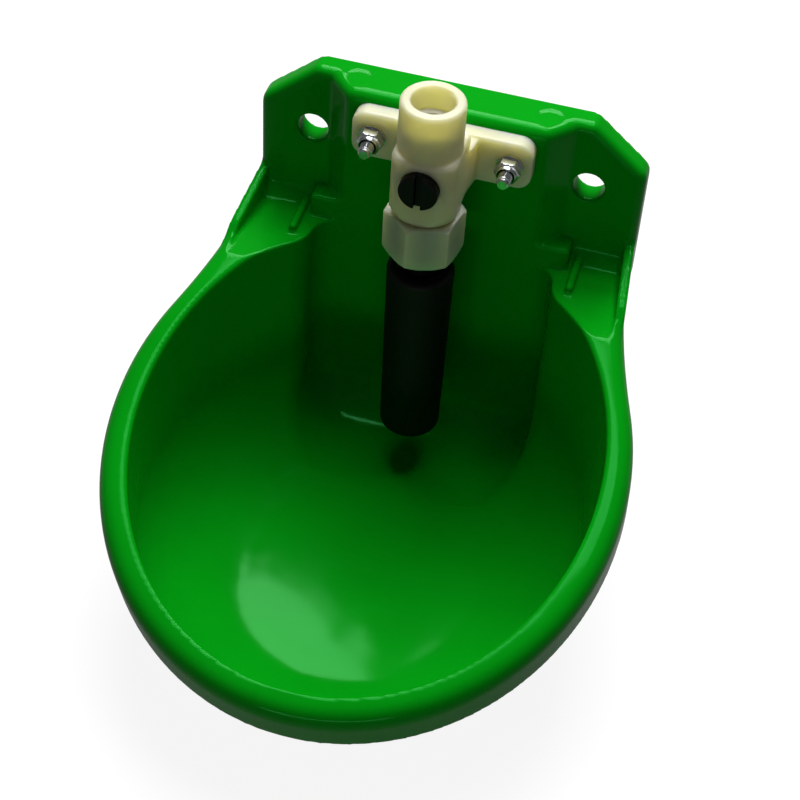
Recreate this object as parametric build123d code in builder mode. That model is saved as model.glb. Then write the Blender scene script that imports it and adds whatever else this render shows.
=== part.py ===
"""Livestock drinking bowl with a push-tube valve.

A wall-hung plastic bowl carries a nylon valve on two M6 bolts. An animal pushes the black nose
tube towards the wall; its flange rocks on the shoulder of the union nut and lifts the valve stem.

Frame: millimetres, +Z up, +X right, -Y away from the wall. The origin lies on the wall face,
midway between the two wall-screw holes.
"""
from build123d import *
from math import atan, cos, degrees, pi, radians, sin, sqrt, tan
import os

# ---------------------------------------------------------------- driving dimensions
# wall plate
plate_top_z = 32.0
plate_top_half = 61.0
ear_half = 86.0
ear_corner_z = 11.0
ear_depth = 11.0
pad_depth = 21.5
pad_front_half = 43.5
pad_side_angle = 45.0
plate_wall = 4.0
ear_edge_round = 4.0
pad_edge_round = 5.0
least_round = 1.0
wall_hole_spacing = 124.0
wall_hole_r = 7.0
wall_boss_r = 11.0
pin_mark_r = 6.0
pin_mark_depth = 0.4
pin_mark_spacing = 84.0

# bowl
bowl_centre_y = -130.0
bowl_inner_r = 98.5
bowl_stretch = 1.10
bowl_wall = 4.0
bowl_draft = 4.0
bowl_floor_z = -148.0
floor_fillet = 46.0
rim_mid_z = -61.4
rim_slope = 0.30
rim_overhang = 12.0
skirt_height = 24.0
rim_roll = 8.0
lip_bevel = 1.0
skirt_wall = 3.5

# channel for the nose tube, sunk in the back of the bowl
channel_half = 55.0
channel_front_y = -75.0
channel_corner_r = 11.0
channel_floor_r = 24.0
channel_blend = 16.0

# ledges between the ears and the rim
ledge_floor_z = -40.0
gusset_wall = 4.4
gusset_foot_half = 90.0
gusset_foot_y = -46.0
ledge_rib_x = 63.0
ledge_rib_wall = 3.4
ledge_rib_height = 4.0
ledge_rib_round = 0.8
ledge_rib_front_y = -36.0
ledge_fillet = 9.0
ledge_inner_x = 40.0

# bolts that hold the valve (M6)
bolt_spacing = 60.0
bolt_z = 17.0
bolt_r = 3.0
bolt_hole_r = 3.3
bolt_length = 35.0
bolt_head_af = 10.0
bolt_head_height = 4.0
bolt_tip_y = -42.6
bolt_tip_bevel = 0.7
washer_r = 6.0
washer_thickness = 1.2
back_washer_r = 9.0
back_washer_thickness = 1.6
nut_af = 10.0
nut_height = 4.6
collar_r = 4.4
collar_height = 1.8
collar_lip = 0.5
nut_insert_share = 0.85
nut_insert_setback = 0.2
bolt_boss_r = 8.5
bolt_boss_clearance = 2.5

# valve body
valve_y = -50.2
wing_thickness = 7.5
wing_half = 39.5
wing_height = 23.0
wing_corner_r = 6.5
wing_edge_round = 1.4
body_half = 14.0
body_front_y = -64.4
body_top_z = 36.0
body_bottom_z = 4.5
body_front_round = 7.5
body_top_round = 2.2
web_half = 16.0
web_reach = 4.0
web_setback = 1.0
inlet_r = 13.7
inlet_top_z = 59.0
inlet_edge_round = 1.6
inlet_bore_r = 9.3
inlet_bore_length = 10.9
strainer_pocket_r = 8.7
strainer_height = 3.0
strainer_wall = 1.4
mesh_thickness = 0.6
gasket_thickness = 1.5
passage_r = 4.2
spigot_r = 13.2
spigot_bottom_z = -9.0
chamber_r = 7.5
chamber_top_z = 17.0
outlet_r = 10.4
seat_z = 4.0

# flow regulator
regulator_z = 23.8
knob_r = 8.4
knob_length = 7.2
knob_proud = 3.6
knob_gap = 0.08
knob_slot = 3.0
knob_edge_round = 0.8
knob_play = 1.5
regulator_shank_r = 5.0
regulator_tip_r = 3.6
regulator_shank_length = 4.2
regulator_tip_length = 4.0
regulator_tip_bevel = 1.2
regulator_tip_play = 0.4
oring_wire_r = 0.9

# union nut and nose tube
union_top_z = 3.0
union_bottom_z = -19.0
union_af = 30.6
union_turn = -11.0
union_shoulder = 3.0
thread_gap = 0.1
neck_r = 8.0
neck_bore_r = 5.0
neck_hole_r = 10.0
flange_r = 11.5
flange_thickness = 2.5
flange_ring_thickness = 1.5
tube_top_z = -29.0
tube_bottom_z = -124.0
tube_top_r = 14.8
tube_bottom_r = 13.6
tube_bore_r = 8.0
neck_stub_length = 18.0
tube_bottom_round = 2.4
tube_top_round = 2.0

# stem and its seal
stem_r = 2.0
stem_gap = 0.05
stem_head_r = 6.2
stem_head_thickness = 1.8
seal_thickness = 1.5
stem_tip_gap = 0.06
seat_height = 5.0
port_r = 0.95
port_circle_r = 3.9
port_count = 6
seat_flange_r = 9.8
seat_flange_thickness = 2.0
stem_boss_r = 3.2
stem_boss_height = 2.4
stem_boss_bevel = 0.6
stem_tip_round = 1.9
spring_wire_r = 0.45
spring_r = 4.4
spring_turns = 4.5
wire_flats = 8

# fits
fit_gap = 0.05

# how far one form reaches into the next that it joins, and the band that picks an edge by its place
sink = 1.0
pick_band = 0.1

os.makedirs("parts", exist_ok=True)


def save(builder, name):
    """Label a finished piece and write it as its own STEP file."""
    builder.part.label = name
    export_step(builder.part, f"parts/{name}.step")


# ---------------------------------------------------------------- planes used by several pieces
rim_angle = atan(rim_slope)
rim_plane = Plane(
    origin=(0, bowl_centre_y, rim_mid_z), x_dir=(1, 0, 0), z_dir=(0, -sin(rim_angle), cos(rim_angle))
)
rim_axis = Axis(rim_plane.origin, rim_plane.z_dir)
wall_face = Plane.XZ
pad_face = Plane.XZ.offset(pad_depth)
wing_face_y = -pad_depth - wing_thickness


def rim_z(y):
    """Height of the rim plane at a distance y from the wall."""
    return rim_mid_z + rim_slope * (y - bowl_centre_y)


def rim_v(y):
    """Distance along the rim plane for a point at y."""
    return (y - bowl_centre_y) / cos(rim_angle)


# ---------------------------------------------------------------- bowl: dish, inside and outside
inner_top_r = bowl_inner_r + (plate_top_z - rim_mid_z) * tan(radians(bowl_draft))


def make_dish(clear):
    """Body of the dish: clear = 0 is the inner face, clear = bowl_wall the outer one."""
    floor_z = bowl_floor_z - clear
    foot_r = bowl_inner_r + (floor_z - rim_mid_z) * tan(radians(bowl_draft)) + clear
    top_r = inner_top_r + clear
    with BuildPart() as dish:
        with BuildSketch(Plane.XZ) as profile:
            with BuildLine():
                Polyline((0, floor_z), (foot_r, floor_z), (top_r, plate_top_z), (0, plate_top_z), close=True)
            make_face()
            fillet(profile.vertices().group_by(Axis.Y)[0].sort_by(Axis.X)[-1], floor_fillet + clear)
        revolve(axis=Axis.Z)
        scale(by=(1, bowl_stretch, 1))
    return dish.part



def make_channel(clear):
    """Straight-backed channel behind the dish: clear grows it to the outer face of its wall."""
    half = channel_half + clear
    back_y = -pad_depth + clear
    floor_z = bowl_floor_z - clear
    with BuildPart() as channel:
        with BuildSketch(Plane.XY.offset(floor_z)):
            with Locations((0, back_y)):
                Rectangle(2 * half, back_y - channel_front_y, align=(Align.CENTER, Align.MAX))
        extrude(amount=plate_top_z - floor_z)
        fillet(channel.edges().filter_by(Axis.Z).group_by(Axis.Y)[-1], channel_corner_r + clear)
        floor_edges = channel.faces().sort_by(Axis.Z)[0].edges()
        fillet(floor_edges.sort_by(Axis.Y)[1:], channel_floor_r + clear)
    return channel.part


def junctions(builder, clear):
    """Upright edges where the sides of the channel leave the dish."""
    side = channel_half + clear
    edges = builder.edges().filter_by(GeomType.BSPLINE)
    left = edges.filter_by_position(Axis.X, -side - pick_band, -side + pick_band)
    right = edges.filter_by_position(Axis.X, side - pick_band, side + pick_band)
    return left.sort_by(SortBy.LENGTH)[-1:] + right.sort_by(SortBy.LENGTH)[-1:]


# the dish wall stops half way up the thickness of the rim
with BuildPart() as above_wall:
    with BuildSketch(rim_plane.offset(-skirt_wall / 2)):
        Rectangle(4 * ear_half, 4 * ear_half)
    extrude(amount=2 * ear_half)

with BuildPart() as behind_pad:
    with BuildSketch(pad_face):
        Rectangle(4 * ear_half, 6 * ear_half)
    extrude(amount=-2 * pad_depth)

with BuildPart() as cavity:
    with Locations((0, bowl_centre_y, 0)):
        add(make_dish(0))
    add(make_channel(0))
    add(behind_pad.part, mode=Mode.SUBTRACT)
    fillet(junctions(cavity, 0), channel_blend)

with BuildPart() as dish_wall:
    with Locations((0, bowl_centre_y, 0)):
        add(make_dish(bowl_wall))
    add(make_channel(bowl_wall))
    add(above_wall.part, mode=Mode.SUBTRACT)
    fillet(junctions(dish_wall, bowl_wall), channel_blend - bowl_wall)

# ---------------------------------------------------------------- bowl: rolled rim
front_reach = bowl_stretch * bowl_inner_r / (1 + bowl_stretch * rim_slope * tan(radians(bowl_draft)))
rim_rx = bowl_inner_r + rim_overhang
rim_ry = front_reach / cos(rim_angle) + rim_overhang
shoulder_angle = 22.0


def make_rim(inset, drop, height):
    """Slab under the rim plane with the rim's outline, set in and lowered for its hollow side."""
    with BuildPart() as slab:
        with BuildSketch(rim_plane.offset(-drop)):
            with BuildLine():
                front = EllipticalCenterArc(
                    (0, 0), rim_rx - inset, rim_ry - inset, 270, arc_size=90 + shoulder_angle
                )
                foot = (gusset_foot_half - inset, rim_v(gusset_foot_y))
                ear = (ear_half - inset, rim_v(-ear_depth))
                back = (ear_half - inset, rim_v(0) + skirt_height)
                shoulder = Spline(front @ 1, foot, ear, tangents=(front % 1, (0, 1)))
                Polyline(shoulder @ 1, back, (0, back[1]))
                mirror(about=Plane.YZ)
            make_face()
        extrude(amount=-height)
    return slab.part


with BuildPart() as rim_band:
    add(make_rim(0, 0, skirt_height))
    top_edges = rim_band.faces().sort_by(rim_axis)[-1].edges()
    fillet(top_edges.sort_by(Axis.Y)[:-1], rim_roll)

# ---------------------------------------------------------------- bowl: wall plate
ear_bottom_z = rim_z(0) - skirt_height / cos(rim_angle)
pad_back_half = pad_front_half + pad_depth / tan(radians(pad_side_angle))
lower_pad_bottom_z = -120.0

with BuildPart() as ears:
    with BuildSketch(wall_face):
        with BuildLine():
            Polyline(
                (0, ear_bottom_z),
                (ear_half, ear_bottom_z),
                (ear_half, ear_corner_z),
                (plate_top_half, plate_top_z),
                (0, plate_top_z),
            )
            mirror(about=Plane.YZ)
        make_face()
    extrude(amount=ear_depth)
    fillet(ears.edges().filter_by(Axis.Y).group_by(Axis.Z)[-2], 2 * ear_edge_round)
    fillet(ears.edges().filter_by(Axis.Y).group_by(Axis.Z)[-1], ear_edge_round)
    front_edges = ears.faces().sort_by(Axis.Y)[0].edges().sort_by(Axis.Z)[1:]
    fillet(front_edges, ear_edge_round)


def make_pad(inset):
    """Thick middle of the plate that carries the valve; inset shrinks it for its hollow back."""
    front_y = -pad_depth + inset
    top_z = plate_top_z - inset
    back_half = pad_back_half - inset / sin(radians(pad_side_angle))
    front_half = back_half + front_y / tan(radians(pad_side_angle))
    with BuildPart() as pad:
        with BuildSketch(Plane.XY.offset(ledge_floor_z)):
            with BuildLine():
                Polyline((0, 0), (back_half, 0), (front_half, front_y), (0, front_y))
                mirror(about=Plane.YZ)
            make_face()
        extrude(amount=top_z - ledge_floor_z)
        corner_r = max(pad_edge_round - inset, least_round)
        fillet(pad.edges().filter_by(Axis.Z).group_by(Axis.Y)[0], corner_r)
        fillet(pad.faces().sort_by(Axis.Z)[-1].edges().sort_by(Axis.Y)[:-1], corner_r)
    return pad.part


with BuildPart() as lower_pad:
    with BuildSketch(wall_face):
        with Locations((0, lower_pad_bottom_z)):
            Rectangle(
                2 * (channel_half + bowl_wall),
                rim_z(-pad_depth) - lower_pad_bottom_z,
                align=(Align.CENTER, Align.MIN),
            )
    extrude(amount=pad_depth)
    fillet(lower_pad.edges().filter_by(Axis.Y).group_by(Axis.Z)[0], channel_corner_r)

# ---------------------------------------------------------------- bowl: hollow back and its ribs
ear_floor_y = ear_depth - plate_wall
pad_floor_y = pad_depth - plate_wall
rib_thickness = 3.0
rib_pitch = 23.2
cross_rib_z = (4.0, -19.0, -65.0, -88.0)

with BuildPart() as back_hollow:
    with BuildSketch(wall_face) as ear_inner:
        with BuildLine():
            Polyline(
                (0, ear_bottom_z + plate_wall),
                (ear_half - plate_wall, ear_bottom_z + plate_wall),
                (ear_half - plate_wall, ear_corner_z - plate_wall / 2),
                (plate_top_half - plate_wall / 2, plate_top_z - plate_wall),
                (0, plate_top_z - plate_wall),
            )
            mirror(about=Plane.YZ)
        make_face()
        fillet(ear_inner.vertices().group_by(Axis.Y)[-2], ear_edge_round)
    extrude(amount=ear_floor_y)
    add(make_pad(plate_wall))
    with BuildSketch(wall_face) as lower_inner:
        with Locations((0, lower_pad_bottom_z + bowl_wall)):
            Rectangle(
                2 * channel_half,
                ledge_floor_z - plate_wall - bowl_wall - lower_pad_bottom_z,
                align=(Align.CENTER, Align.MIN),
            )
        fillet(lower_inner.vertices().group_by(Axis.Y)[0], channel_corner_r - bowl_wall)
    extrude(amount=pad_floor_y)

wall_holes = [(side * wall_hole_spacing / 2, 0) for side in (-1, 1)]
bolt_holes = [(side * bolt_spacing / 2, bolt_z) for side in (-1, 1)]
bolt_head_y = bolt_tip_y + bolt_length
bolt_boss_y = bolt_head_y - back_washer_thickness

with BuildPart() as back_ribs:
    with BuildSketch(wall_face):
        with GridLocations(rib_pitch, 1, 5, 1):
            Rectangle(rib_thickness, 4 * ear_half)
        for z in cross_rib_z:
            with Locations((0, z)):
                Rectangle(2 * ear_half, rib_thickness)
    extrude(amount=pad_depth)
    with BuildSketch(wall_face):
        with Locations(*wall_holes):
            Circle(wall_boss_r)
    extrude(amount=ear_depth)
    add(back_hollow.part, mode=Mode.INTERSECT)
    with BuildSketch(wall_face):
        with Locations(*bolt_holes):
            Circle(bolt_boss_r + bolt_boss_clearance)
    extrude(amount=pad_depth, mode=Mode.SUBTRACT)

with BuildPart() as bolt_bosses:
    with BuildSketch(wall_face.offset(-bolt_boss_y)):
        with Locations(*bolt_holes):
            Circle(bolt_boss_r)
    extrude(amount=pad_floor_y + bolt_boss_y)

# ---------------------------------------------------------------- bowl: skirt and ledges
with BuildPart() as skirt_hollow:
    add(make_rim(skirt_wall, skirt_wall, skirt_height))
    fillet(
        skirt_hollow.faces().sort_by(rim_axis)[-1].edges().sort_by(Axis.Y)[:-1],
        rim_roll - skirt_wall,
    )
    with Locations((0, bowl_centre_y, 0)):
        add(make_dish(bowl_wall), mode=Mode.SUBTRACT)
    add(make_channel(bowl_wall), mode=Mode.SUBTRACT)
    add(ears.part, mode=Mode.SUBTRACT)
    add(lower_pad.part, mode=Mode.SUBTRACT)

ledge_outer_x = ear_half - gusset_wall
gusset_middle_x = ear_half - gusset_wall / 2
ledge_foot_x = gusset_foot_half - gusset_wall
ledge_front_y = bowl_centre_y + (ledge_floor_z - rim_mid_z) / rim_slope
gusset_lean = (ledge_foot_x - ledge_outer_x) / (-ear_depth - gusset_foot_y)

with BuildPart() as ledge_pockets:
    with BuildSketch(Plane.XY.offset(ledge_floor_z)):
        with BuildLine():
            Polyline(
                (0, -ear_depth),
                (ledge_outer_x, -ear_depth),
                (ledge_foot_x + gusset_lean * (gusset_foot_y - ledge_front_y), ledge_front_y),
                (0, ledge_front_y),
            )
            mirror(about=Plane.YZ)
        make_face()
    extrude(amount=plate_top_z - ledge_floor_z)
    low_edges = ledge_pockets.edges().filter_by(Axis.X).group_by(Axis.Z)[0]
    fillet(low_edges.group_by(Axis.Y)[-1], ledge_fillet)

with BuildPart() as ledge_blocks:
    with BuildSketch(Plane.XY.offset(ledge_floor_z - plate_wall)):
        for side in (-1, 1):
            with Locations((side * (ledge_inner_x + ear_half) / 2, ledge_front_y)):
                Rectangle(ear_half - ledge_inner_x, -ledge_front_y, align=(Align.CENTER, Align.MIN))
    extrude(amount=plate_wall + sink)
    # raised at the back, where the pocket's fillet runs up to the ear
    with BuildSketch(Plane.XY.offset(ledge_floor_z)):
        for side in (-1, 1):
            with Locations((side * (ledge_inner_x + gusset_middle_x) / 2, 0)):
                Rectangle(
                    gusset_middle_x - ledge_inner_x,
                    ear_depth + ledge_fillet,
                    align=(Align.CENTER, Align.MAX),
                )
    extrude(amount=ledge_fillet)

with BuildPart() as ledge_ribs:
    with BuildSketch(Plane.XY.offset(ledge_floor_z - sink)):
        for side in (-1, 1):
            with Locations((side * ledge_rib_x, -ear_depth + sink)):
                Rectangle(
                    ledge_rib_wall, sink - ledge_rib_front_y - ear_depth, align=(Align.CENTER, Align.MAX)
                )
    extrude(amount=ledge_rib_height + sink)
    fillet(ledge_ribs.faces().group_by(Axis.Z)[-1].edges(), ledge_rib_round)

gusset_taper_y = -64.0
gusset_bend_y = gusset_foot_y + rim_roll / 2
with BuildPart() as gusset_profile:
    with BuildSketch(Plane.YZ):
        with BuildLine():
            Polyline(
                (0, rim_z(0) - skirt_height),
                (0, rim_z(0)),
                (gusset_bend_y, rim_z(gusset_bend_y)),
                (gusset_taper_y, rim_z(gusset_taper_y) - rim_roll),
                (gusset_taper_y, rim_z(gusset_taper_y) - skirt_height),
                close=True,
            )
        make_face()
    extrude(amount=2 * ear_half)

with BuildPart() as right_gusset:
    with BuildSketch(Plane.XY.offset(bowl_floor_z)):
        with BuildLine():
            Polyline(
                (ledge_outer_x, 0),
                (ear_half, 0),
                (ear_half, -ear_depth),
                (gusset_foot_half, gusset_foot_y),
                (gusset_foot_half + gusset_lean * (gusset_foot_y - gusset_taper_y), gusset_taper_y),
                (ledge_foot_x + gusset_lean * (gusset_foot_y - gusset_taper_y), gusset_taper_y),
                (ledge_outer_x, -ear_depth),
                close=True,
            )
        make_face()
    extrude(amount=plate_top_z - bowl_floor_z)
    add(gusset_profile.part, mode=Mode.INTERSECT)


def on_ledge(edge):
    """Whether both ends of an edge lie on the ledges."""
    return max(abs((edge @ end).Z - ledge_floor_z) for end in (0, 1)) < pick_band


# ---------------------------------------------------------------- bowl: the whole moulding
with BuildPart() as bowl:
    add(rim_band.part)
    add(skirt_hollow.part, mode=Mode.SUBTRACT)
    add(dish_wall.part)
    add(ledge_blocks.part)
    add(ledge_pockets.part, mode=Mode.SUBTRACT)
    add(ledge_ribs.part)
    add(ears.part)
    add(make_pad(0))
    add(lower_pad.part)
    add(right_gusset.part)
    mirror(right_gusset.part, about=Plane.YZ)
    add(cavity.part, mode=Mode.SUBTRACT)
    add(back_hollow.part, mode=Mode.SUBTRACT)
    add(back_ribs.part)
    add(bolt_bosses.part)
    with BuildSketch(wall_face):
        with Locations(*wall_holes):
            Circle(wall_hole_r)
    extrude(amount=pad_depth, mode=Mode.SUBTRACT)
    with BuildSketch(wall_face):
        with Locations(*bolt_holes):
            Circle(bolt_hole_r)
    extrude(amount=2 * pad_depth, mode=Mode.SUBTRACT)
    with BuildSketch(Plane.XY.offset(plate_top_z)):
        with Locations((-pin_mark_spacing / 2, -pad_depth / 2), (pin_mark_spacing / 2, -pad_depth / 2)):
            Circle(pin_mark_r)
    extrude(amount=-pin_mark_depth, mode=Mode.SUBTRACT)
    with BuildSketch(wall_face):
        Rectangle(4 * ear_half, 4 * ear_half)
    extrude(amount=-2 * pad_depth, mode=Mode.SUBTRACT)
    # lip: the long edge that runs round the front from ledge to ledge
    chamfer(bowl.edges().filter_by(on_ledge).sort_by(SortBy.LENGTH)[-1], lip_bevel)
save(bowl, "bowl")

# ---------------------------------------------------------------- valve body
wing_plane = Plane.XZ.offset(pad_depth)
inlet_shoulder_z = inlet_top_z - inlet_bore_length
inlet_floor_z = inlet_shoulder_z - strainer_height - mesh_thickness - gasket_thickness
valve_axis = (0, valve_y, 0)
knob_back_y = body_front_y - knob_proud + knob_length
recess_floor_y = knob_back_y + knob_play
shank_back_y = knob_back_y + regulator_shank_length
shank_floor_y = shank_back_y + knob_play
regulator_plane = Plane.XZ.offset(-body_front_y)

with BuildPart() as valve_body:
    # wings that the two bolts clamp
    with BuildSketch(wing_plane):
        with Locations((0, bolt_z)):
            RectangleRounded(2 * wing_half, wing_height, wing_corner_r)
    extrude(amount=wing_thickness)
    fillet(valve_body.faces().sort_by(Axis.Y)[0].edges(), wing_edge_round)
    # web between the wings and the body
    with BuildSketch(Plane.XY.offset(bolt_z - wing_height / 2)):
        with BuildLine():
            Polyline(
                (0, wing_face_y + sink),
                (web_half, wing_face_y + sink),
                (body_half - web_setback, valve_y + web_reach),
                (0, valve_y + web_reach),
            )
            mirror(about=Plane.YZ)
        make_face()
    extrude(amount=wing_height - web_setback)
    # body round the valve chamber, flat in front for the regulator
    with BuildSketch(Plane.XY.offset(body_bottom_z)):
        with BuildLine():
            body_back_y = valve_y + body_half
            Polyline(
                (0, body_back_y),
                (body_half, body_back_y),
                (body_half, body_front_y),
                (0, body_front_y),
            )
            mirror(about=Plane.YZ)
        make_face()
    extrude(amount=body_top_z - body_bottom_z)
    upright_edges = valve_body.edges().filter_by(Axis.Z)
    fillet(
        upright_edges.filter_by_position(Axis.Y, body_front_y - pick_band, body_front_y + pick_band),
        body_front_round,
    )
    fillet(valve_body.faces().filter_by(Axis.Z).sort_by(Axis.Z)[-1].edges(), body_top_round)
    # inlet socket above, threaded spigot below
    with BuildSketch(Plane.XY.offset(body_top_z - 3 * sink)):
        with Locations(valve_axis):
            Circle(inlet_r)
    extrude(amount=inlet_top_z - body_top_z + 3 * sink)
    fillet(valve_body.faces().sort_by(Axis.Z)[-1].edges(), inlet_edge_round)
    with BuildSketch(Plane.XY.offset(spigot_bottom_z)):
        with Locations(valve_axis):
            Circle(spigot_r)
    extrude(amount=body_bottom_z - spigot_bottom_z + 2 * sink)
    # water way: inlet bore, passage, chamber and outlet
    for bore_r, low_z, high_z in (
        (inlet_bore_r, inlet_shoulder_z, inlet_top_z),
        (strainer_pocket_r, inlet_floor_z, inlet_shoulder_z + sink),
        (passage_r, chamber_top_z - sink, inlet_floor_z + sink),
        (chamber_r, seat_z - seat_height, chamber_top_z),
        (outlet_r, spigot_bottom_z, seat_z - seat_height),
    ):
        with BuildSketch(Plane.XY.offset(low_z)):
            with Locations(valve_axis):
                Circle(bore_r)
        extrude(amount=high_z - low_z, mode=Mode.SUBTRACT)
    # regulator: recess for the knob, bore for its shank and tip
    for bore_r, floor_y in (
        (knob_r + knob_gap, recess_floor_y),
        (regulator_shank_r + fit_gap, shank_floor_y),
        (regulator_tip_r + regulator_tip_play, valve_y),
    ):
        with BuildSketch(regulator_plane):
            with Locations((0, regulator_z)):
                Circle(bore_r)
        extrude(amount=body_front_y - floor_y, mode=Mode.SUBTRACT)
    # bolt holes
    with BuildSketch(wing_plane):
        with Locations(*bolt_holes):
            Circle(bolt_hole_r)
    extrude(amount=2 * wing_thickness, mode=Mode.SUBTRACT)
save(valve_body, "valve_body")


# ---------------------------------------------------------------- inlet strainer, mesh and gasket
strainer_r = strainer_pocket_r - fit_gap
mesh_z = inlet_floor_z + strainer_height
gasket_z = mesh_z + mesh_thickness

with BuildPart() as strainer_ring:
    with BuildSketch(Plane.XY.offset(inlet_floor_z)):
        with Locations(valve_axis):
            Circle(strainer_r)
            Circle(strainer_r - strainer_wall, mode=Mode.SUBTRACT)
            for turn in (0, 90):
                Rectangle(2 * strainer_r - strainer_wall, strainer_wall, rotation=turn)
    extrude(amount=strainer_height)
save(strainer_ring, "strainer_ring")

mesh_pitch = 1.7
mesh_opening = 1.0
mesh_rows = 7
with BuildPart() as strainer_mesh:
    with BuildSketch(Plane.XY.offset(mesh_z)):
        with Locations(valve_axis):
            Circle(strainer_r)
            with GridLocations(mesh_pitch, mesh_pitch, mesh_rows, mesh_rows):
                Rectangle(mesh_opening, mesh_opening, mode=Mode.SUBTRACT)
    extrude(amount=mesh_thickness)
save(strainer_mesh, "strainer_mesh")

with BuildPart() as inlet_gasket:
    with BuildSketch(Plane.XY.offset(gasket_z)):
        with Locations(valve_axis):
            Circle(strainer_r)
            Circle(strainer_r - 2 * strainer_wall, mode=Mode.SUBTRACT)
    extrude(amount=gasket_thickness)
save(inlet_gasket, "inlet_gasket")

# ---------------------------------------------------------------- flow regulator and its ring
shank_r = regulator_shank_r
tip_r = regulator_tip_r
oring_groove_r = shank_r - 2 * oring_wire_r
oring_y = knob_back_y + regulator_shank_length / 2
oring_groove_width = 2.2 * oring_wire_r
knob_face_y = body_front_y - knob_proud


def regulator_disc(face_y, length, radius):
    """Cylinder on the regulator's axis, from face_y towards the wall."""
    with BuildPart() as disc:
        with BuildSketch(Plane.XZ.offset(-face_y)):
            with Locations((0, regulator_z)):
                Circle(radius)
        extrude(amount=-length)
    return disc.part


with BuildPart() as regulator_screw:
    add(regulator_disc(knob_face_y, knob_length, knob_r))
    fillet(regulator_screw.faces().sort_by(Axis.Y)[0].edges(), knob_edge_round)
    add(regulator_disc(knob_back_y, regulator_shank_length, shank_r - fit_gap))
    add(regulator_disc(shank_back_y, regulator_tip_length, tip_r))
    chamfer(regulator_screw.faces().sort_by(Axis.Y)[-1].edges(), regulator_tip_bevel)
    with BuildSketch(Plane.XZ.offset(-knob_face_y)):
        with Locations((0, regulator_z)):
            Rectangle(knob_slot, 2.2 * knob_r)
    extrude(amount=-knob_slot, mode=Mode.SUBTRACT)
    with BuildSketch(Plane.XZ.offset(oring_groove_width / 2 - oring_y)):
        with Locations((0, regulator_z)):
            Circle(shank_r + fit_gap)
            Circle(oring_groove_r, mode=Mode.SUBTRACT)
    extrude(amount=-oring_groove_width, mode=Mode.SUBTRACT)
save(regulator_screw, "regulator_screw")

with BuildPart() as regulator_oring:
    with BuildSketch(Plane.YZ):
        with Locations((oring_y, regulator_z + shank_r - oring_wire_r)):
            RegularPolygon(oring_wire_r - fit_gap, wire_flats)
    revolve(axis=Axis((0, 0, regulator_z), (0, 1, 0)))
save(regulator_oring, "regulator_oring")

# ---------------------------------------------------------------- seat bush and its ring
seat_bottom_z = seat_z - seat_height
seat_oring_z = seat_z - seat_height / 2

with BuildPart() as seat_bush:
    with BuildSketch(Plane.XY.offset(seat_bottom_z)):
        with Locations(valve_axis):
            Circle(chamber_r - fit_gap)
    extrude(amount=seat_height)
    with BuildSketch(Plane.XY.offset(seat_bottom_z)):
        with Locations(valve_axis):
            Circle(seat_flange_r)
    extrude(amount=-seat_flange_thickness)
    with BuildSketch(Plane.XY.offset(seat_z)):
        with Locations(valve_axis):
            Circle(stem_r + stem_gap)
            with PolarLocations(port_circle_r, port_count):
                Circle(port_r)
    extrude(amount=-seat_height - seat_flange_thickness, mode=Mode.SUBTRACT)
    with BuildSketch(Plane.XY.offset(seat_oring_z - oring_wire_r)):
        with Locations(valve_axis):
            Circle(chamber_r + fit_gap)
            Circle(chamber_r - 2 * oring_wire_r, mode=Mode.SUBTRACT)
    extrude(amount=2 * oring_wire_r, mode=Mode.SUBTRACT)
save(seat_bush, "seat_bush")

with BuildPart() as seat_oring:
    with BuildSketch(Plane.YZ):
        with Locations((valve_y + chamber_r - oring_wire_r, seat_oring_z)):
            RegularPolygon(oring_wire_r, wire_flats)
    revolve(axis=Axis(valve_axis, (0, 0, 1)))
save(seat_oring, "seat_oring")

# ---------------------------------------------------------------- stem, seal and return spring
neck_flange_top_z = union_bottom_z + union_shoulder + flange_ring_thickness + flange_thickness
stem_tip_z = neck_flange_top_z + stem_tip_gap
stem_head_z = seat_z + seal_thickness
spring_bottom_z = stem_head_z + stem_head_thickness

with BuildPart() as valve_stem:
    for disc_r, low_z, high_z in (
        (stem_r, stem_tip_z, stem_head_z),
        (stem_head_r, stem_head_z, spring_bottom_z),
        (stem_boss_r, spring_bottom_z, spring_bottom_z + stem_boss_height),
    ):
        with BuildSketch(Plane.XY.offset(low_z)):
            with Locations(valve_axis):
                Circle(disc_r)
        extrude(amount=high_z - low_z)
    fillet(valve_stem.faces().sort_by(Axis.Z)[0].edges(), stem_tip_round)
    chamfer(valve_stem.faces().sort_by(Axis.Z)[-1].edges(), stem_boss_bevel)
save(valve_stem, "valve_stem")

with BuildPart() as stem_seal:
    with BuildSketch(Plane.XY.offset(seat_z)):
        with Locations(valve_axis):
            Circle(stem_head_r)
            Circle(stem_r + fit_gap, mode=Mode.SUBTRACT)
    extrude(amount=seal_thickness)
save(stem_seal, "stem_seal")

spring_low_z = spring_bottom_z + spring_wire_r + fit_gap
spring_height = chamber_top_z - spring_wire_r - fit_gap - spring_low_z
with BuildPart() as return_spring:
    with BuildLine():
        coil = Helix(
            pitch=spring_height / spring_turns,
            height=spring_height,
            radius=spring_r,
            center=(0, valve_y, spring_low_z),
        )
    with BuildSketch(Plane(origin=coil @ 0, z_dir=coil % 0)):
        RegularPolygon(spring_wire_r, wire_flats)
    sweep(is_frenet=True)
save(return_spring, "return_spring")

# ---------------------------------------------------------------- union nut
union_corner_r = union_af / sqrt(3)
union_chamfer = 1.6
shoulder_z = union_bottom_z + union_shoulder

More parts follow.
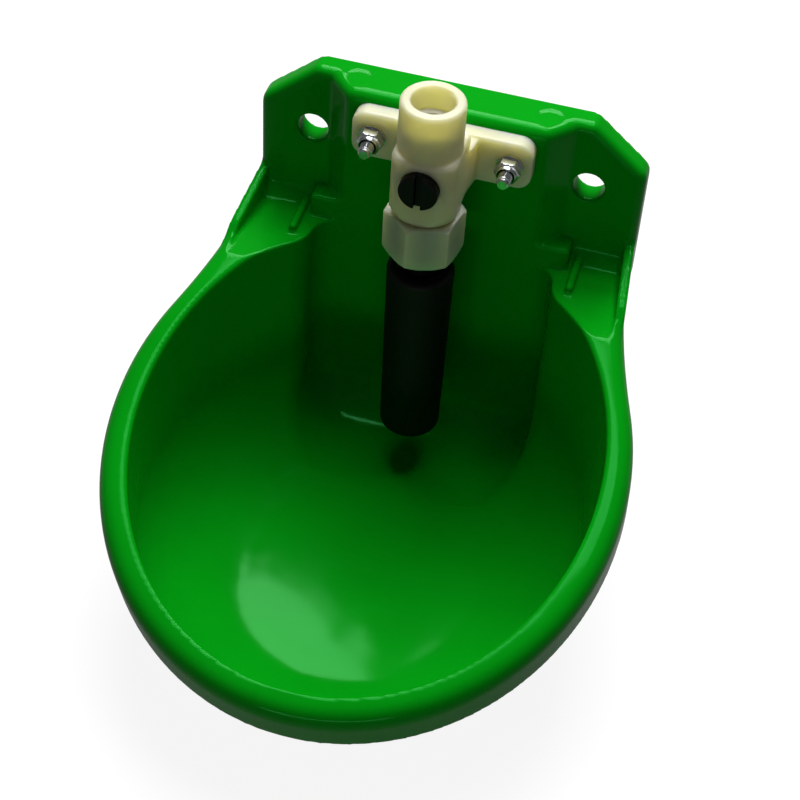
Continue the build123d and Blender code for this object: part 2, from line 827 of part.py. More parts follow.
with BuildPart() as union_hexagon:
    with BuildSketch(Plane.XY.offset(union_bottom_z)):
        with Locations(valve_axis):
            RegularPolygon(union_af / 2, 6, major_radius=False, rotation=union_turn - 90)
    extrude(amount=union_top_z - union_bottom_z)
    with BuildSketch(Plane.XY.offset(union_bottom_z)):
        with Locations(valve_axis):
            Circle(union_corner_r)
    extrude(amount=union_top_z - union_bottom_z, mode=Mode.INTERSECT)
    for bore_r, low_z, high_z in (
        (neck_hole_r, union_bottom_z, union_top_z),
        (spigot_r + thread_gap, shoulder_z, union_top_z),
    ):
        with BuildSketch(Plane.XY.offset(low_z)):
            with Locations(valve_axis):
                Circle(bore_r)
        extrude(amount=high_z - low_z, mode=Mode.SUBTRACT)

# cone that breaks the hexagon's corners above and below
with BuildPart() as union_round:
    with BuildSketch(Plane.XZ.offset(-valve_y)):
        with BuildLine():
            Polyline(
                (0, union_bottom_z),
                (union_af / 2, union_bottom_z),
                (union_corner_r, union_bottom_z + union_chamfer),
                (union_corner_r, union_top_z - union_chamfer),
                (union_af / 2, union_top_z),
                (0, union_top_z),
                close=True,
            )
        make_face()
    revolve(axis=Axis(valve_axis, (0, 0, 1)))
with BuildPart() as union_nut:
    add(union_hexagon.part)
    add(union_round.part, mode=Mode.INTERSECT)
save(union_nut, "union_nut")

# ---------------------------------------------------------------- nose: slip ring, neck and tube
slip_ring_top_z = shoulder_z + flange_ring_thickness
with BuildPart() as flange_ring:
    with BuildSketch(Plane.XY.offset(shoulder_z)):
        with Locations(valve_axis):
            Circle(flange_r)
            Circle(neck_r + thread_gap, mode=Mode.SUBTRACT)
    extrude(amount=flange_ring_thickness)
save(flange_ring, "flange_ring")

neck_bottom_z = tube_top_z - neck_stub_length
barb_height = 2.0
with BuildPart() as nose_neck:
    for disc_r, low_z, high_z in (
        (tube_bore_r - thread_gap, neck_bottom_z, tube_top_z),
        (neck_r, tube_top_z, slip_ring_top_z),
        (flange_r, slip_ring_top_z, neck_flange_top_z),
    ):
        with BuildSketch(Plane.XY.offset(low_z)):
            with Locations(valve_axis):
                Circle(disc_r)
        extrude(amount=high_z - low_z)
    for barb_z in (neck_bottom_z + barb_height, neck_bottom_z + 4 * barb_height):
        with BuildSketch(Plane.XY.offset(barb_z)):
            with Locations(valve_axis):
                Circle(tube_bore_r)
        extrude(amount=barb_height)
    with BuildSketch(Plane.XY.offset(neck_bottom_z)):
        with Locations(valve_axis):
            Circle(neck_bore_r)
    extrude(amount=slip_ring_top_z - neck_bottom_z, mode=Mode.SUBTRACT)
    with BuildSketch(Plane.XY.offset(slip_ring_top_z)):
        with Locations(valve_axis):
            with PolarLocations(port_circle_r, port_count):
                Circle(port_r)
    extrude(amount=flange_thickness, mode=Mode.SUBTRACT)
save(nose_neck, "nose_neck")

with BuildPart() as nose_tube:
    with BuildSketch(Plane.XZ.offset(-valve_y)):
        with BuildLine():
            Polyline(
                (tube_bore_r, tube_bottom_z),
                (tube_bottom_r, tube_bottom_z),
                (tube_top_r, tube_top_z),
                (tube_bore_r, tube_top_z),
                close=True,
            )
        make_face()
    revolve(axis=Axis(valve_axis, (0, 0, 1)))
    fillet(nose_tube.faces().sort_by(Axis.Z)[0].edges(), tube_bottom_round)
    fillet(nose_tube.faces().sort_by(Axis.Z)[-1].edges().sort_by(SortBy.RADIUS)[-1], tube_top_round)
save(nose_tube, "nose_tube")

# ---------------------------------------------------------------- bolts, washers and lock nuts
front_washer_y = wing_face_y
nut_face_y = front_washer_y - washer_thickness
collar_face_y = nut_face_y - nut_height
insert_height = nut_insert_share * collar_height


def at_bolts(face_y):
    """Sketch plane facing away from the wall at face_y."""
    return Plane.XZ.offset(-face_y)


with BuildPart() as mount_bolts:
    with BuildSketch(at_bolts(bolt_head_y + bolt_head_height)):
        with Locations(*bolt_holes):
            RegularPolygon(bolt_head_af / 2, 6, major_radius=False)
    extrude(amount=bolt_head_height)
    with BuildSketch(at_bolts(bolt_head_y)):
        with Locations(*bolt_holes):
            Circle(bolt_r)
    extrude(amount=bolt_length)
    chamfer(mount_bolts.faces().group_by(Axis.Y)[0].edges(), bolt_tip_bevel)
save(mount_bolts, "mount_bolts")

with BuildPart() as back_washers:
    with BuildSketch(at_bolts(bolt_head_y)):
        with Locations(*bolt_holes):
            Circle(back_washer_r)
            Circle(bolt_hole_r, mode=Mode.SUBTRACT)
    extrude(amount=back_washer_thickness)
save(back_washers, "back_washers")

with BuildPart() as front_washers:
    with BuildSketch(at_bolts(front_washer_y)):
        with Locations(*bolt_holes):
            Circle(washer_r)
            Circle(bolt_hole_r, mode=Mode.SUBTRACT)
    extrude(amount=washer_thickness)
save(front_washers, "front_washers")

with BuildPart() as lock_nuts:
    with BuildSketch(at_bolts(nut_face_y)):
        with Locations(*bolt_holes):
            RegularPolygon(nut_af / 2, 6, major_radius=False)
    extrude(amount=nut_height)
    with BuildSketch(at_bolts(collar_face_y)):
        with Locations(*bolt_holes):
            Circle(collar_r)
    extrude(amount=collar_height)
    with BuildSketch(at_bolts(nut_face_y)):
        with Locations(*bolt_holes):
            Circle(bolt_r + fit_gap)
    extrude(amount=nut_height + collar_height, mode=Mode.SUBTRACT)
    with BuildSketch(at_bolts(collar_face_y - collar_height + insert_height)):
        with Locations(*bolt_holes):
            Circle(collar_r - collar_lip)
    extrude(amount=collar_height, mode=Mode.SUBTRACT)
save(lock_nuts, "lock_nuts")

with BuildPart() as nut_inserts:
    with BuildSketch(at_bolts(collar_face_y - collar_height + insert_height)):
        with Locations(*bolt_holes):
            Circle(collar_r - collar_lip)
            Circle(bolt_r + fit_gap, mode=Mode.SUBTRACT)
    extrude(amount=insert_height - nut_insert_setback)
save(nut_inserts, "nut_inserts")
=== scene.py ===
from math import cos, hypot, pi, radians, sin
import bmesh
import bpy
from mathutils import Matrix, Vector


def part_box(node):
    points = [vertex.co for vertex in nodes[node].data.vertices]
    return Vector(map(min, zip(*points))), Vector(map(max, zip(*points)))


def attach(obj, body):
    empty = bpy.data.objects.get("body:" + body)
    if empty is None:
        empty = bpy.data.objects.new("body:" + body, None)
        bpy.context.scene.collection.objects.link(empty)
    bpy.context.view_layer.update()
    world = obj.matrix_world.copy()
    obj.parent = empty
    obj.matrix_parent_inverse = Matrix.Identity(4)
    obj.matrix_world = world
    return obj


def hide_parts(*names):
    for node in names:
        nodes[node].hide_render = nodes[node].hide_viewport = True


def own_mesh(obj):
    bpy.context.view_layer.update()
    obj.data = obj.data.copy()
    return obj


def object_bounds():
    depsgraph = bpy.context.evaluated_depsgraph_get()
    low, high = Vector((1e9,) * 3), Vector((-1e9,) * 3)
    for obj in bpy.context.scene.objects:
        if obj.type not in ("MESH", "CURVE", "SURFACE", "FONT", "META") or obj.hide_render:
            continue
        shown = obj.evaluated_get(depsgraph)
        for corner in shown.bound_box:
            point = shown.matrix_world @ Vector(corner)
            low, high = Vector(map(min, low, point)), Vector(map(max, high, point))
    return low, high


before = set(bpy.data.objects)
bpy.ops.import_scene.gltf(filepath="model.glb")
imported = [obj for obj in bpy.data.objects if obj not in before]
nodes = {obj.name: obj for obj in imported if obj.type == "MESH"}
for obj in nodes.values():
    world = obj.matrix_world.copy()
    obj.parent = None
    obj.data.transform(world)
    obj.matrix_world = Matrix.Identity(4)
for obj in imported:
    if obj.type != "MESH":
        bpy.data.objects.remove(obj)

cad_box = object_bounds()

# ---------------------------------------------------------------- camera
# A long lens looks down at the bowl from in front, a little to the right and slightly rolled.
camera_turn = radians(12.84)
camera_height = radians(45.43)
camera_roll = radians(4.11)
camera_distance = 0.8603
camera_aside = (0.02499, 0.12435)
camera_lift = 0.0168
camera_lens = 89.7

away = Vector((
    sin(camera_turn) * cos(camera_height),
    -cos(camera_turn) * cos(camera_height),
    sin(camera_height),
))
level_right = Vector((cos(camera_turn), sin(camera_turn), 0))
level_up = away.cross(level_right)
image_right = cos(camera_roll) * level_right + sin(camera_roll) * level_up
image_up = cos(camera_roll) * level_up - sin(camera_roll) * level_right
camera_place = away * camera_distance - image_right * camera_aside[0] - image_up * camera_aside[1]
camera_place.z += camera_lift

lens = bpy.data.cameras.new("studio_camera")
lens.lens = camera_lens
lens.sensor_width = 36
lens.clip_start = 0.05
camera = bpy.data.objects.new("studio_camera", lens)
camera.matrix_world = Matrix((
    (image_right.x, image_up.x, away.x, camera_place.x),
    (image_right.y, image_up.y, away.y, camera_place.y),
    (image_right.z, image_up.z, away.z, camera_place.z),
    (0, 0, 0, 1),
))
bpy.context.scene.collection.objects.link(camera)
bpy.context.scene.camera = camera

# ---------------------------------------------------------------- white table
# Matt paper under the bowl. It shows white and keeps a soft shadow, but sends little light back up.


def linear(hex_colour):
    """sRGB hex to a linear colour with alpha."""
    channels = [int(hex_colour[i:i + 2], 16) / 255 for i in (1, 3, 5)]
    return tuple(c / 12.92 if c <= 0.04045 else ((c + 0.055) / 1.055) ** 2.4 for c in channels) + (1.0,)


def add_node(tree, kind, inputs=None, **settings):
    """Adds a node. Settings are its options; an input takes a number, a colour or another node's output."""
    made = tree.nodes.new(kind)
    for name, value in settings.items():
        setattr(made, name, value)
    for name, value in (inputs or {}).items():
        if isinstance(value, bpy.types.NodeSocket):
            tree.links.new(value, made.inputs[name])
        else:
            made.inputs[name].default_value = value
    return made


def empty_material(name):
    """A material with only its output node left, and that output's surface socket."""
    made = bpy.data.materials.new(name)
    made.use_nodes = True
    made.node_tree.nodes.clear()
    return made, made.node_tree, add_node(made.node_tree, "ShaderNodeOutputMaterial")


# Paper, matt coated: plain white to the eye with a faint grain, and only weakly mirrored by the gloss.
paper_glow = 0.9
paper_mirrored_share = 0.15
paper, tree, out = empty_material("matt_grey_paper")
light_path = add_node(tree, "ShaderNodeLightPath")
seen = add_node(tree, "ShaderNodeMath", {0: light_path.outputs["Is Camera Ray"],
                                         1: light_path.outputs["Is Transmission Ray"]}, operation="ADD")
glossy = add_node(tree, "ShaderNodeMath", {0: light_path.outputs["Is Glossy Ray"],
                                           1: paper_mirrored_share}, operation="MULTIPLY")
glow = add_node(tree, "ShaderNodeMath", {0: seen.outputs[0], 1: glossy.outputs[0]}, operation="ADD")
glow_level = add_node(tree, "ShaderNodeMath", {0: glow.outputs[0], 1: paper_glow},
                      operation="MULTIPLY")
grain = add_node(tree, "ShaderNodeTexNoise", {"Scale": 900.0, "Detail": 3.0})
fibres = add_node(tree, "ShaderNodeBump", {"Height": grain.outputs["Fac"], "Strength": 0.05,
                                           "Distance": 0.0002})
matt = add_node(tree, "ShaderNodeBsdfDiffuse", {"Color": linear("#6E6E6E"),
                                                "Normal": fibres.outputs["Normal"]})
light = add_node(tree, "ShaderNodeEmission", {"Color": linear("#FFFFFF"),
                                              "Strength": glow_level.outputs[0]})
both = add_node(tree, "ShaderNodeAddShader", {0: matt.outputs[0], 1: light.outputs[0]})
tree.links.new(both.outputs[0], out.inputs["Surface"])

table_z = cad_box[0].z - 0.0004
table_mesh = bpy.data.meshes.new("white_table")
table_corners = [(-4, -4, table_z), (4, -4, table_z), (4, 4, table_z), (-4, 4, table_z)]
table_mesh.from_pydata(table_corners, [], [(0, 1, 2, 3)])
table_mesh.materials.append(paper)
table = bpy.data.objects.new("white_table", table_mesh)
bpy.context.scene.collection.objects.link(table)

# ---------------------------------------------------------------- studio light
# A big soft lamp stands high behind the wall plate, so the front inside wall is bright and the plate's
# face is dark. A weaker one hangs straight above, and a low, weak strip in front lights the rim's skirt
# and the nut. The room gives a little light from all round.
room_level = 0.035
mirrored_level = 0.12

world = bpy.data.worlds.new("studio")
bpy.context.scene.world = world
world.use_nodes = True
world.node_tree.nodes.clear()
path = add_node(world.node_tree, "ShaderNodeLightPath")
shown = add_node(world.node_tree, "ShaderNodeMath", {0: path.outputs["Is Camera Ray"],
                                                     1: path.outputs["Is Transmission Ray"]},
                 operation="ADD")
mirrored = add_node(world.node_tree, "ShaderNodeMath", {0: path.outputs["Is Glossy Ray"], 1: mirrored_level},
                    operation="MULTIPLY")
level = add_node(world.node_tree, "ShaderNodeMath", {0: shown.outputs[0], 1: mirrored.outputs[0]},
                 operation="ADD")
lifted = add_node(world.node_tree, "ShaderNodeMath", {0: level.outputs[0], 1: room_level},
                  operation="MAXIMUM")
sky = add_node(world.node_tree, "ShaderNodeBackground", {"Color": linear("#FFFFFF"),
                                                         "Strength": lifted.outputs[0]})
add_node(world.node_tree, "ShaderNodeOutputWorld", {"Surface": sky.outputs[0]})


def add_lamp(name, place, target, size, power):
    """Rectangular soft lamp at place, facing target; size is its width and height."""
    light = bpy.data.lights.new(name, "AREA")
    light.shape = "RECTANGLE"
    light.size, light.size_y = size
    light.energy = power
    lamp = bpy.data.objects.new(name, light)
    lamp.location = place
    lamp.rotation_euler = (Vector(target) - Vector(place)).to_track_quat("-Z", "Y").to_euler()
    bpy.context.scene.collection.objects.link(lamp)


add_lamp("back_softbox", (-0.1, 0.62, 1.15), (0, -0.1, -0.05), (0.9, 0.6), 22)
add_lamp("top_softbox", (0, 0.12, 1.3), (0, -0.1, -0.05), (0.9, 0.3), 7)
add_lamp("low_front_fill", (0.1, -1.2, -0.09), (0, -0.05, 0), (0.8, 0.08), 1.1)

# ---------------------------------------------------------------- bowl
# One injection-moulded piece: dish, rolled rim, ledges and ribbed wall plate in glossy green
# polypropylene. Every edge has the soft round that the mould leaves.
weld_gap = 0.00001


def moulded(node_name, piece_name, body, voxel, passes):
    """The node's shape as one fine even mesh whose edges are rounded as in a mould, in the node's place."""
    mesh = nodes[node_name].data.copy()
    mesh.name = piece_name
    mesh.materials.clear()
    piece = bpy.data.objects.new(piece_name, mesh)
    bpy.context.scene.collection.objects.link(piece)
    weld = piece.modifiers.new("weld", "WELD")
    weld.merge_threshold = weld_gap
    remesh = piece.modifiers.new("remesh", "REMESH")
    remesh.mode = "VOXEL"
    remesh.voxel_size = voxel
    smooth = piece.modifiers.new("smooth", "SMOOTH")
    smooth.factor = 0.5
    smooth.iterations = passes
    bpy.context.view_layer.update()
    done = bpy.data.meshes.new_from_object(piece.evaluated_get(bpy.context.evaluated_depsgraph_get()))
    piece.modifiers.clear()
    piece.data = done
    done.shade_smooth()
    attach(piece, body)
    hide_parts(node_name)
    return piece


bowl = moulded("bowl", "bowl_moulding", "housing", 0.0008, 8)

# Polypropylene, injection moulded: deep glossy green, with slow waves where it shrank in the mould.
# Its gloss keeps some of the green, so that the surface looks saturated up to the highlights.
green, tree, out = empty_material("polypropylene_moulded_gloss")
place = add_node(tree, "ShaderNodeTexCoord").outputs["Object"]
cloud = add_node(tree, "ShaderNodeTexNoise", {"Vector": place, "Scale": 14.0, "Detail": 3.0})
colour = add_node(tree, "ShaderNodeValToRGB", {"Fac": cloud.outputs["Fac"]})
colour.color_ramp.elements[0].position = 0.3
colour.color_ramp.elements[0].color = linear("#048F10")
colour.color_ramp.elements[1].position = 0.7
colour.color_ramp.elements[1].color = linear("#059915")
haze = add_node(tree, "ShaderNodeTexNoise", {"Vector": place, "Scale": 40.0, "Detail": 6.0})
gloss = add_node(tree, "ShaderNodeMapRange", {"Value": haze.outputs["Fac"], "To Min": 0.08, "To Max": 0.17})
# shrinkage waves about 25 mm long, and a fine mould grain of about 0.6 mm
waves = add_node(tree, "ShaderNodeTexNoise", {"Vector": place, "Scale": 40.0, "Detail": 1.0})
wave_bump = add_node(tree, "ShaderNodeBump", {"Height": waves.outputs["Fac"], "Strength": 0.35,
                                              "Distance": 0.001})
grain = add_node(tree, "ShaderNodeTexNoise", {"Vector": place, "Scale": 1700.0, "Detail": 2.0})
grain_bump = add_node(tree, "ShaderNodeBump", {"Height": grain.outputs["Fac"], "Strength": 0.04,
                                               "Distance": 0.0001, "Normal": wave_bump.outputs["Normal"]})
plastic = add_node(tree, "ShaderNodeBsdfPrincipled", {"Base Color": colour.outputs["Color"], "IOR": 1.49,
                                                      "Specular IOR Level": 0.15,
                                                      "Specular Tint": linear("#62FF90"),
                                                      "Roughness": gloss.outputs["Result"],
                                                      "Normal": grain_bump.outputs["Normal"]})
tree.links.new(plastic.outputs[0], out.inputs["Surface"])
bowl.data.materials.append(green)

# ---------------------------------------------------------------- valve body and union nut
# Milky ivory nylon mouldings. The two bolts clamp the body's wings, and the nut below it, which is
# screwed on by hand, holds the nose. Inside the inlet sits a push-fit ring for the strainer.
valve_y = -0.0502
foot_r = 0.0146
foot_z = 0.0045
foot_top_z = 0.017
foot_slope = 0.5
foot_margin = 0.001

# Nylon, moulded: light passes through its thin walls, under a satin skin.
ivory, tree, out = empty_material("nylon_moulded_ivory")
place = add_node(tree, "ShaderNodeTexCoord").outputs["Object"]
cloud = add_node(tree, "ShaderNodeTexNoise", {"Vector": place, "Scale": 60.0, "Detail": 4.0})
colour = add_node(tree, "ShaderNodeValToRGB", {"Fac": cloud.outputs["Fac"]})
colour.color_ramp.elements[0].position = 0.3
colour.color_ramp.elements[0].color = linear("#DED7A6")
colour.color_ramp.elements[1].position = 0.7
colour.color_ramp.elements[1].color = linear("#E6DFB2")
gloss = add_node(tree, "ShaderNodeMapRange", {"Value": cloud.outputs["Fac"], "To Min": 0.3, "To Max": 0.45})
grain = add_node(tree, "ShaderNodeTexNoise", {"Vector": place, "Scale": 1500.0, "Detail": 2.0})
skin = add_node(tree, "ShaderNodeBump", {"Height": grain.outputs["Fac"], "Strength": 0.08,
                                         "Distance": 0.0001})
nylon = add_node(tree, "ShaderNodeBsdfPrincipled", {"Base Color": colour.outputs["Color"], "IOR": 1.53,
                                                    "Roughness": gloss.outputs["Result"],
                                                    "Specular IOR Level": 0.4,
                                                    "Subsurface Weight": 1.0,
                                                    "Subsurface Radius": (1.0, 0.9, 0.55),
                                                    "Subsurface Scale": 0.02,
                                                    "Normal": skin.outputs["Normal"]})
tree.links.new(nylon.outputs[0], out.inputs["Surface"])

for node_name, piece_name, slot_name, voxel, passes in (
    ("valve_body", "valve_body_moulding", "ivory_nylon", 0.0004, 8),
    ("union_nut", "union_nut_moulding", "ivory_nylon_nut", 0.0004, 4),
    ("strainer_ring", "strainer_ring_moulding", "ivory_nylon_inner", 0.0002, 2),
):
    piece = moulded(node_name, piece_name, "housing", voxel, passes)
    piece.data.materials.append(ivory)
    if node_name == "valve_body":
        # the front of the block narrows to a round foot where it meets the nut
        for vertex in piece.data.vertices:
            across, deep = vertex.co.x, vertex.co.y - valve_y
            reach = foot_r + max(0, vertex.co.z - foot_z) * foot_slope
            if deep < 0 and foot_z - foot_margin < vertex.co.z < foot_top_z and hypot(across, deep) > reach:
                pull = reach / hypot(across, deep)
                vertex.co.x = across * pull
                vertex.co.y = valve_y + deep * pull

# ---------------------------------------------------------------- seat bush and inlet gasket
# The hard seat that the valve's stem closes on, pressed into the body above the nose. The flat ring
# at the bottom of the inlet gets the same pale colour as painted light, for the light that glows
# through the inlet's nylon walls, so the socket looks light all the way down.
# Acetal, turned: dense white with a slight gloss and fine turning rings.
acetal_and_socket_light, tree, out = empty_material("acetal_white_and_painted_socket_light")
place = add_node(tree, "ShaderNodeTexCoord").outputs["Object"]
rings = add_node(tree, "ShaderNodeTexWave", {"Vector": place, "Scale": 900.0, "Distortion": 0.5},
                 bands_direction="Z")
colour = add_node(tree, "ShaderNodeValToRGB", {"Fac": rings.outputs["Fac"]})
colour.color_ramp.elements[0].color = linear("#E4E3DC")
colour.color_ramp.elements[1].color = linear("#EFEEE8")
cut = add_node(tree, "ShaderNodeBump", {"Height": rings.outputs["Fac"], "Strength": 0.1, "Distance": 0.0001})
resin = add_node(tree, "ShaderNodeBsdfPrincipled", {"Base Color": colour.outputs["Color"], "IOR": 1.48,
                                                    "Roughness": 0.35, "Normal": cut.outputs["Normal"]})
tree.links.new(resin.outputs[0], out.inputs["Surface"])
# The seat bush is white acetal; the inlet gasket's pale colour is painted light in the socket.
for node_name in ("seat_bush", "inlet_gasket"):
    nodes[node_name].data.materials.clear()
    nodes[node_name].data.materials.append(acetal_and_socket_light)

# ---------------------------------------------------------------- strainer mesh, stem and spring
# The working metal of the valve: a woven disc under the inlet, the rocking stem that lifts off the
# seat, and the spring that brings it back. All of it is bare stainless steel.
# Stainless steel, drawn and turned: neutral grey with a soft shine along the wire.
stainless, tree, out = empty_material("stainless_steel_drawn")
place = add_node(tree, "ShaderNodeTexCoord").outputs["Object"]
streaks = add_node(tree, "ShaderNodeTexNoise", {"Vector": place, "Scale": 700.0, "Detail": 4.0})
colour = add_node(tree, "ShaderNodeValToRGB", {"Fac": streaks.outputs["Fac"]})
colour.color_ramp.elements[0].color = linear("#A9A9A6")
colour.color_ramp.elements[1].color = linear("#C9C9C5")
gloss = add_node(tree, "ShaderNodeMapRange", {"Value": streaks.outputs["Fac"], "To Min": 0.22,
                                              "To Max": 0.38})
metal = add_node(tree, "ShaderNodeBsdfPrincipled", {"Base Color": colour.outputs["Color"], "Metallic": 1.0,
                                                    "Roughness": gloss.outputs["Result"]})
tree.links.new(metal.outputs[0], out.inputs["Surface"])
for node_name in ("strainer_mesh", "valve_stem"):
    nodes[node_name].data.materials.clear()
    nodes[node_name].data.materials.append(stainless)

# The spring's wire is made round. In use, its coils close up by the stem's travel as the nose is pushed.
spring_mesh = nodes["return_spring"].data.copy()
spring_mesh.name = "coil_spring"
spring = bpy.data.objects.new("coil_spring", spring_mesh)
bpy.context.scene.collection.objects.link(spring)
weld = spring.modifiers.new("weld", "WELD")
weld.merge_threshold = weld_gap
spring.modifiers.new("round_wire", "SUBSURF").levels = 1
bpy.context.view_layer.update()
spring_mesh = bpy.data.meshes.new_from_object(spring.evaluated_get(bpy.context.evaluated_depsgraph_get()))
spring.modifiers.clear()
spring.data = spring_mesh
spring_mesh.shade_smooth()
spring_mesh.materials.clear()
spring_mesh.materials.append(stainless)
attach(spring, "housing")
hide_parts("return_spring")
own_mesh(spring)

# ---------------------------------------------------------------- regulator knob, neck and nut inserts
# Black nylon mouldings: the flow regulator's knob with its screwdriver slot, the neck that carries
# the nose tube, the slip ring it rocks on, and the locking rings in the two nuts.
# Nylon, moulded black: nearly black with a soft sheen and a fine grain.
black, tree, out = empty_material("nylon_moulded_black")
place = add_node(tree, "ShaderNodeTexCoord").outputs["Object"]
cloud = add_node(tree, "ShaderNodeTexNoise", {"Vector": place, "Scale": 90.0, "Detail": 5.0})
colour = add_node(tree, "ShaderNodeValToRGB", {"Fac": cloud.outputs["Fac"]})
colour.color_ramp.elements[0].color = linear("#020202")
colour.color_ramp.elements[1].color = linear("#050504")
gloss = add_node(tree, "ShaderNodeMapRange", {"Value": cloud.outputs["Fac"], "To Min": 0.4, "To Max": 0.55})
grain = add_node(tree, "ShaderNodeTexNoise", {"Vector": place, "Scale": 1400.0, "Detail": 2.0})
skin = add_node(tree, "ShaderNodeBump", {"Height": grain.outputs["Fac"], "Strength": 0.15,
                                         "Distance": 0.0001})
plastic = add_node(tree, "ShaderNodeBsdfPrincipled", {"Base Color": colour.outputs["Color"], "IOR": 1.53,
                                                      "Specular IOR Level": 0.12,
                                                      "Roughness": gloss.outputs["Result"],
                                                      "Normal": skin.outputs["Normal"]})
tree.links.new(plastic.outputs[0], out.inputs["Surface"])

for node_name, piece_name, body, slot_name, voxel in (
    ("regulator_screw", "regulator_knob", "regulator", "black_nylon", 0.00025),
    ("nose_neck", "nose_neck_moulding", "nose", "grey_nylon", 0.0004),
):
    piece = moulded(node_name, piece_name, body, voxel, 3)
    piece.data.materials.append(black)
for node_name in ("flange_ring", "nut_inserts"):
    nodes[node_name].data.materials.clear()
    nodes[node_name].data.materials.append(black)

# ---------------------------------------------------------------- nose tube and seals
# The black rubber tube that the animal pushes, stretched over the neck, and the valve's rubber
# O-rings and stem seal.
# Nitrile rubber, compression moulded: dull black, without a clear reflection, slightly dusty.
rubber, tree, out = empty_material("nitrile_rubber_moulded")
place = add_node(tree, "ShaderNodeTexCoord").outputs["Object"]
dust = add_node(tree, "ShaderNodeTexNoise", {"Vector": place, "Scale": 55.0, "Detail": 6.0})
colour = add_node(tree, "ShaderNodeValToRGB", {"Fac": dust.outputs["Fac"]})
colour.color_ramp.elements[0].position = 0.35
colour.color_ramp.elements[0].color = linear("#010201")
colour.color_ramp.elements[1].position = 0.8
colour.color_ramp.elements[1].color = linear("#050604")
gloss = add_node(tree, "ShaderNodeMapRange", {"Value": dust.outputs["Fac"], "To Min": 0.5, "To Max": 0.7})
grain = add_node(tree, "ShaderNodeTexNoise", {"Vector": place, "Scale": 1200.0, "Detail": 3.0})
skin = add_node(tree, "ShaderNodeBump", {"Height": grain.outputs["Fac"], "Strength": 0.2, "Distance": 0.0001})
compound = add_node(tree, "ShaderNodeBsdfPrincipled", {"Base Color": colour.outputs["Color"], "IOR": 1.52,
                                                       "Specular IOR Level": 0.2,
                                                       "Roughness": gloss.outputs["Result"],
                                                       "Normal": skin.outputs["Normal"]})
tree.links.new(compound.outputs[0], out.inputs["Surface"])

tube = moulded("nose_tube", "nose_tube_moulding", "nose", 0.0006, 3)
tube.data.materials.append(rubber)
for node_name in ("seat_oring", "stem_seal", "regulator_oring"):
    nodes[node_name].data.materials.clear()
    nodes[node_name].data.materials.append(rubber)

# ---------------------------------------------------------------- bolts, washers and nuts
# Two M6 hexagon bolts put in from behind clamp the valve's wings to the plate, each with a big
# washer behind, a small one in front and a lock nut. The bolt ends in a smooth bevelled tip.
bolt_middles = (-0.030, 0.030)
bolt_height = 0.017
head_flats = 0.010
corner_r = 0.006
head_back, head_front = -0.0036, -0.0076
thread_major = 0.003
thread_pitch = 0.001
thread_depth = 0.0005
thread_start, thread_end = -0.022, -0.0408
rows_a_turn = 10
run_in_rows, run_out_rows = 10, 8
tip_r = 0.0026
bore_r = 0.00308
insert_r = 0.0039
collar_r = 0.0044
nut_height = 0.0046
insert_setback = 0.00027
turn_steps = 60

# Steel, bright zinc plated: pale bluish grey with a fine mottle in its tone and gloss.
zinc, tree, out = empty_material("steel_zinc_plated")
place = add_node(tree, "ShaderNodeTexCoord").outputs["Object"]
cloud = add_node(tree, "ShaderNodeTexNoise", {"Vector": place, "Scale": 300.0, "Detail": 5.0})
colour = add_node(tree, "ShaderNodeValToRGB", {"Fac": cloud.outputs["Fac"]})
colour.color_ramp.elements[0].color = linear("#A9ADB0")
colour.color_ramp.elements[1].color = linear("#D9DCDD")
gloss = add_node(tree, "ShaderNodeMapRange", {"Value": cloud.outputs["Fac"], "To Min": 0.16, "To Max": 0.32})
metal = add_node(tree, "ShaderNodeBsdfPrincipled", {"Base Color": colour.outputs["Color"], "Metallic": 1.0,
                                                    "Roughness": gloss.outputs["Result"]})
tree.links.new(metal.outputs[0], out.inputs["Surface"])


def turned(node_name, piece_name, outline, hollow):
    """A piece turned about both bolts' axes, in the node's place.

    Each row of outline is (y, round radius, across flats or None, thread depth). A hollow outline
    comes back to its own start, and a solid one is closed at both ends.
    """
    mesh = bmesh.new()
    for middle in bolt_middles:
        rings = []
        for y, round_r, flats, depth in outline:
            ring = []
            for step in range(turn_steps):
                angle = 2 * pi * step / turn_steps
                reach = round_r
                if flats:
                    reach = min(reach, flats / 2 / cos(angle % (pi / 3) - pi / 6))
                phase = (y / thread_pitch + step / turn_steps) % 1
                reach -= depth * abs(2 * phase - 1)
                across, up = reach * cos(angle), reach * sin(angle)
                ring.append(mesh.verts.new((middle + across, y, bolt_height + up)))
            rings.append(ring)
        following = rings[1:] + rings[:1] if hollow else rings[1:]
        for near, far in zip(rings, following):
            for step in range(turn_steps):
                other = (step + 1) % turn_steps
                mesh.faces.new((near[step], near[other], far[other], far[step]))
        if not hollow:
            mesh.faces.new(rings[0])
            mesh.faces.new(rings[-1])
    bmesh.ops.recalc_face_normals(mesh, faces=mesh.faces)
    done = bpy.data.meshes.new(piece_name)
    mesh.to_mesh(done)
    mesh.free()
    done.shade_smooth()
    done.set_sharp_from_angle(angle=radians(30))
    done.materials.append(zinc)
    piece = bpy.data.objects.new(piece_name, done)
    bpy.context.scene.collection.objects.link(piece)
    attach(piece, "housing")
    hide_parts(node_name)


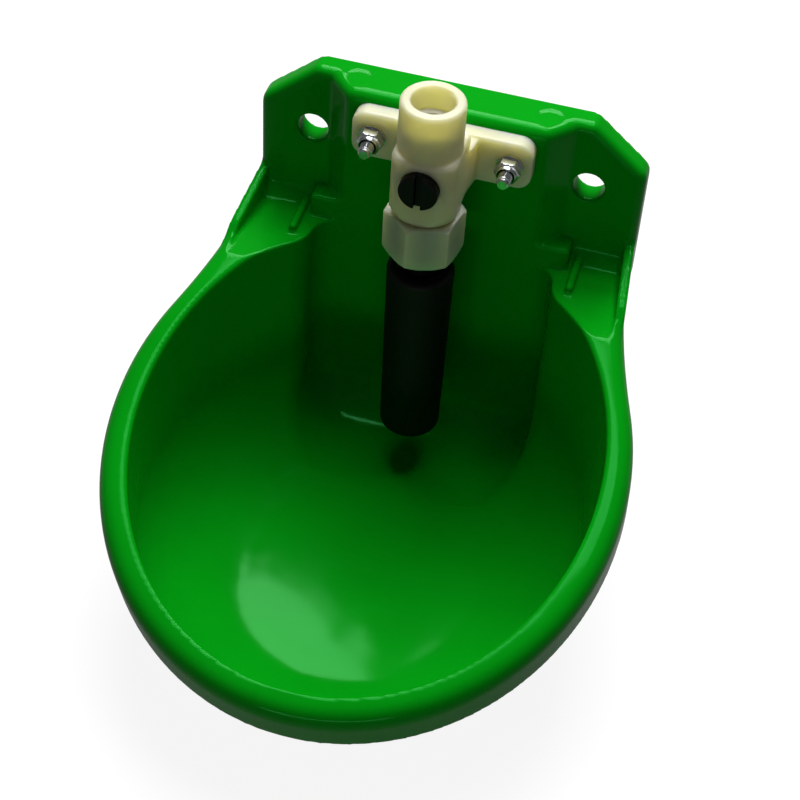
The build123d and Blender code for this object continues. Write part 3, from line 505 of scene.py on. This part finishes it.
bolt_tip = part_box("mount_bolts")[0].y
bolt_outline = [
    (head_back, 0.0047, head_flats, 0),
    (head_back - 0.0002, 0.00505, head_flats, 0),
    (head_back - 0.0004, 0.0054, head_flats, 0),
    (head_back - 0.0007, corner_r, head_flats, 0),
    (head_front, corner_r, head_flats, 0),
    (head_front, thread_major, None, 0),
    (thread_start, thread_major, None, 0),
]
thread_rows = round((thread_start - thread_end) / (thread_pitch / rows_a_turn))
for row in range(1, thread_rows):
    fade = min(1, row / run_in_rows, (thread_rows - row) / run_out_rows)
    row_y = thread_start - row * thread_pitch / rows_a_turn
    bolt_outline.append((row_y, thread_major, None, thread_depth * fade))
bolt_outline += [
    (thread_end, tip_r, None, 0),
    (bolt_tip + 0.0005, tip_r, None, 0),
    (bolt_tip, tip_r - 0.0005, None, 0),
]
turned("mount_bolts", "hexagon_bolts", bolt_outline, False)

nut_low, nut_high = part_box("lock_nuts")
nut_back = nut_high.y
nut_front = nut_back - nut_height
collar_front = nut_low.y
pocket_back = nut_front - insert_setback
nut_outline = [
    (nut_back, bore_r, None, 0),
    (nut_back, 0.0048, head_flats, 0),
    (nut_back - 0.0003, 0.0054, head_flats, 0),
    (nut_back - 0.0005, corner_r, head_flats, 0),
    (nut_front + 0.0006, corner_r, head_flats, 0),
    (nut_front + 0.0004, 0.0055, head_flats, 0),
    (nut_front + 0.0002, 0.0051, head_flats, 0),
    (nut_front, 0.0047, head_flats, 0),
    (nut_front - 0.0001, collar_r, None, 0),
    (collar_front + 0.0006, collar_r - 0.0001, None, 0),
    (collar_front + 0.0002, collar_r - 0.00022, None, 0),
    (collar_front, collar_r - 0.0004, None, 0),
    (collar_front, insert_r, None, 0),
    (pocket_back, insert_r, None, 0),
    (pocket_back, bore_r, None, 0),
]
turned("lock_nuts", "lock_nut_pair", nut_outline, True)
for node_name in ("back_washers", "front_washers"):
    nodes[node_name].data.materials.clear()
    nodes[node_name].data.materials.append(zinc)

bpy.context.scene.view_settings.view_transform = "Standard"
